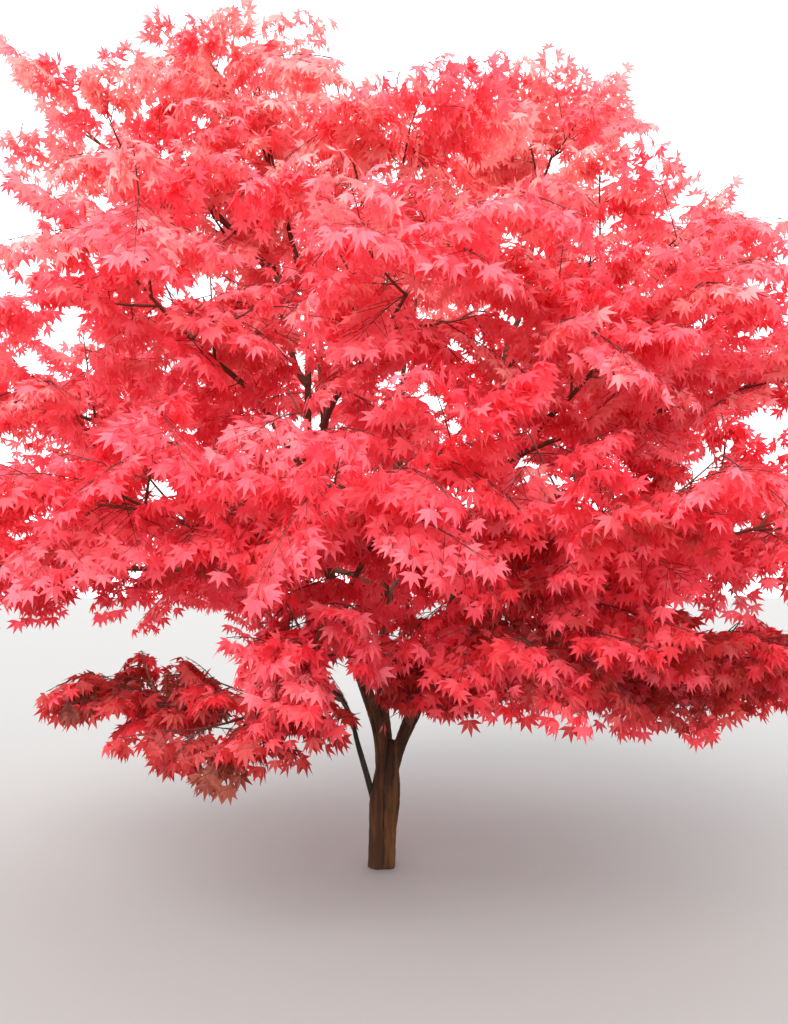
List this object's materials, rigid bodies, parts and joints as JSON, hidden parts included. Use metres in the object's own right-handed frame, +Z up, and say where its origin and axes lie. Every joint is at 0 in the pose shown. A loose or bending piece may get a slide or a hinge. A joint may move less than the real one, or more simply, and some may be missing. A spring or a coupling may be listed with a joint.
{
  "type": "japanese maple tree",
  "caption": "Japanese maple tree in red autumn leaf: a low leaning trunk parts into upright stems whose boughs carry a broad crown of layered, lobed leaves; flat cut at ground level.",
  "frame": {"origin": "middle of the flat cut under the trunk, at ground level", "axes": "+Z up; seen from the front, along +Y, +X points right and -Y points at the viewer; -Z is the outward normal of the ground cut"},
  "size_m": [4.3423, 3.735, 3.7797],
  "materials": {
    "bark": "furrowed brown bark, rough",
    "bough_bark": "thin red-brown bark, rough",
    "leaf_scarlet": "thin leaf, scarlet, soft sheen",
    "leaf_crimson": "thin leaf, crimson, soft sheen",
    "leaf_rose": "thin leaf, rose red, soft sheen",
    "leaf_deep_red": "thin leaf, deep red, soft sheen"
  },
  "bodies": {
    "root": {"trunk": "bark", "left_stem": "bark", "centre_stem": "bark", "right_stem": "bark", "right_back_stem": "bark", "low_left_stem": "bark", "upper_front_bough": "bough_bark", "low_left_bough": "bough_bark", "hem_right_bough": "bough_bark", "fringe_front_bough": "bough_bark", "hem_front_bough": "bough_bark", "edge_left_bough": "bough_bark", "skirt_front_left_bough": "bough_bark", "skirt_front_bough": "bough_bark", "skirt_front_right_bough": "bough_bark", "skirt_right_bough": "bough_bark", "skirt_back_right_bough": "bough_bark", "skirt_back_bough": "bough_bark", "skirt_back_left_bough": "bough_bark", "middle_left_bough": "bough_bark", "middle_front_left_bough": "bough_bark", "middle_front_bough": "bough_bark", "middle_front_right_bough": "bough_bark", "middle_right_bough": "bough_bark", "middle_back_bough": "bough_bark", "middle_back_left_bough": "bough_bark", "upper_left_bough": "bough_bark", "upper_right_bough": "bough_bark", "tuft_front_bough": "bough_bark", "far_left_bough": "bough_bark", "low_front_left_foliage": "leaf_scarlet", "low_left_foliage": "leaf_crimson", "hem_right_foliage": "leaf_rose", "fringe_front_foliage": "leaf_deep_red", "hem_front_foliage": "leaf_scarlet", "edge_left_foliage": "leaf_crimson", "skirt_front_left_foliage": "leaf_rose", "skirt_front_foliage": "leaf_deep_red", "skirt_front_right_foliage": "leaf_scarlet", "skirt_right_foliage": "leaf_crimson", "skirt_back_right_foliage": "leaf_rose", "skirt_back_foliage": "leaf_deep_red", "skirt_back_left_foliage": "leaf_scarlet", "middle_left_foliage": "leaf_crimson", "middle_front_left_foliage": "leaf_rose", "middle_front_foliage": "leaf_deep_red", "middle_front_right_foliage": "leaf_scarlet", "middle_right_foliage": "leaf_crimson", "middle_back_right_foliage": "leaf_rose", "middle_back_foliage": "leaf_deep_red", "middle_back_left_foliage": "leaf_scarlet", "upper_left_foliage": "leaf_crimson", "upper_front_foliage": "leaf_rose", "upper_right_foliage": "leaf_deep_red", "upper_back_foliage": "leaf_scarlet", "top_left_foliage": "leaf_crimson", "tuft_front_foliage": "leaf_rose", "top_right_foliage": "leaf_deep_red", "far_left_foliage": "leaf_scarlet"}
  },
  "joints": []
}
